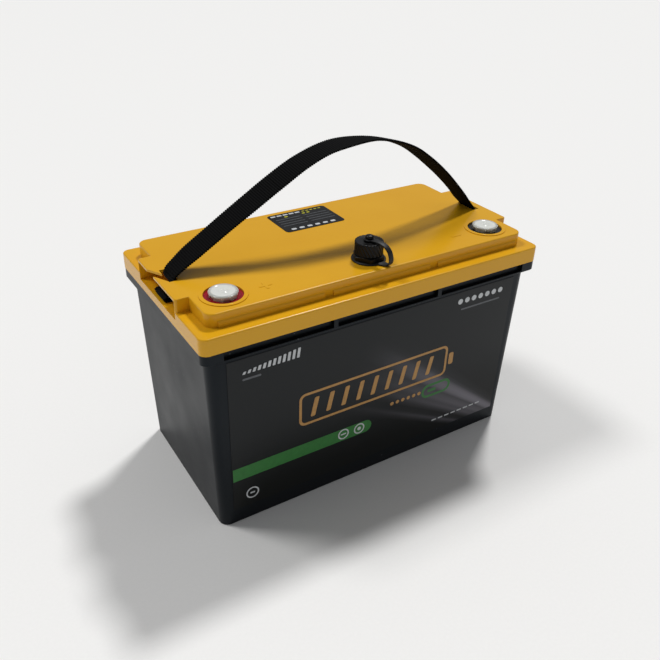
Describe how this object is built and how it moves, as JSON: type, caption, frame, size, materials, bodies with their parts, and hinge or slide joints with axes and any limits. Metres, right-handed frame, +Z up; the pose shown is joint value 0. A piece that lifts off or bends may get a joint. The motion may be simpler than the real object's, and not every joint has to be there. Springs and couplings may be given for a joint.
{
  "type": "deep cycle battery",
  "caption": "Deep cycle leisure battery: black case, amber lid with capped posts, a capped data port and a webbing carry strap, and a cell pack with its protection board inside.",
  "frame": {"origin": "centre of the base, on the surface it stands on", "axes": "+X along the length towards the negative post, +Y towards the back, +Z up; the labelled long side faces -Y"},
  "size_m": [0.33, 0.173, 0.289],
  "materials": {
    "black_case": "satin moulded black ABS",
    "amber_lid": "satin moulded amber ABS",
    "black_rubber": "matt black rubber",
    "printed_label": "printed charcoal film",
    "red_plastic": "glossy deep red",
    "black_plastic": "semi-gloss black nylon",
    "clear_plastic": "clear soft plastic",
    "tinned_brass": "tin-plated",
    "grey_insulator": "moulded grey",
    "gold_contact": "gold-plated",
    "black_webbing": "ribbed woven polypropylene",
    "blue_cell_wrap": "blue shrink film",
    "insulating_sheet": "plain sheet",
    "glass_epoxy": "glass and epoxy board",
    "steel_band": "plain",
    "grey_foam": "closed-cell foam",
    "copper_bar": "bare copper",
    "tinned_copper": "tin-plated copper",
    "plated_steel": "zinc-plated",
    "green_board": "solder-masked board",
    "bare_aluminium": "plain",
    "red_wire": "insulated wire"
  },
  "bodies": {
    "battery": {"case": "black_case", "lid": "amber_lid", "lid_seal": "black_rubber", "front_label": "printed_label", "top_label": "printed_label", "positive_ring": "red_plastic", "negative_ring": "black_plastic", "positive_insert": "tinned_brass", "negative_insert": "tinned_brass", "positive_seal": "black_rubber", "negative_seal": "black_rubber", "port_body": "black_plastic", "port_nut": "black_plastic", "port_gasket": "black_rubber", "port_insulator": "grey_insulator", "port_contacts": "gold_contact", "cap_tether": "black_rubber", "tether_base_ring": "black_rubber", "strap_end_left": "black_webbing", "strap_end_right": "black_webbing", "cell_1": "blue_cell_wrap", "cell_2": "blue_cell_wrap", "cell_3": "blue_cell_wrap", "cell_4": "blue_cell_wrap", "cell_spacer_1": "insulating_sheet", "cell_spacer_2": "insulating_sheet", "cell_spacer_3": "insulating_sheet", "end_plate_left": "glass_epoxy", "end_plate_right": "glass_epoxy", "tension_band_lower": "steel_band", "tension_band_upper": "steel_band", "base_pad": "grey_foam", "end_foam_left": "grey_foam", "end_foam_right": "grey_foam", "cell_tray": "grey_insulator", "busbar_1": "copper_bar", "busbar_2": "copper_bar", "busbar_3": "copper_bar", "busbar_nuts": "plated_steel", "positive_riser": "copper_bar", "battery_negative_lead": "black_rubber", "output_negative_lead": "black_rubber", "cable_lugs": "tinned_copper", "lug_bolts": "plated_steel", "bms_board": "green_board", "bms_mosfets": "black_plastic", "bms_heat_spreader": "bare_aluminium", "bms_screws": "plated_steel", "balance_leads": "red_wire", "comm_lead": "black_rubber", "temperature_sensor": "black_plastic"},
    "strap": {"carry_strap": "black_webbing"},
    "positive_cap": {"positive_cover": "clear_plastic"},
    "negative_cap": {"negative_cover": "clear_plastic"},
    "tether_end": {"tether_cap_ring": "black_rubber"},
    "port_cap": {"dust_cap": "black_plastic", "cap_seal": "black_rubber"}
  },
  "joints": [
    {"name": "strap_swing", "type": "hinge", "parent": "battery", "child": "strap", "pos_m": [0, 0, 0.217], "axis": [1, 0, 0], "range_deg": [-70, 70]},
    {"name": "positive_cover_lift", "type": "slide", "parent": "battery", "child": "positive_cap", "axis": [0, 0, 1], "range_m": [0, 0.03]},
    {"name": "negative_cover_lift", "type": "slide", "parent": "battery", "child": "negative_cap", "axis": [0, 0, 1], "range_m": [0, 0.03]},
    {"name": "cap_lift", "type": "slide", "parent": "battery", "child": "tether_end", "axis": [0, 0, 1], "range_m": [0, 0.0085], "deforming": ["cap_tether"]},
    {"name": "cap_turn", "type": "hinge", "parent": "tether_end", "child": "port_cap", "pos_m": [0, -0.052, 0], "axis": [0, 0, 1], "range_deg": [0, 1440]}
  ],
  "couplings": [
    {"joint": "cap_lift", "follows": "cap_turn", "m_per_rad": 0.00031831}
  ]
}
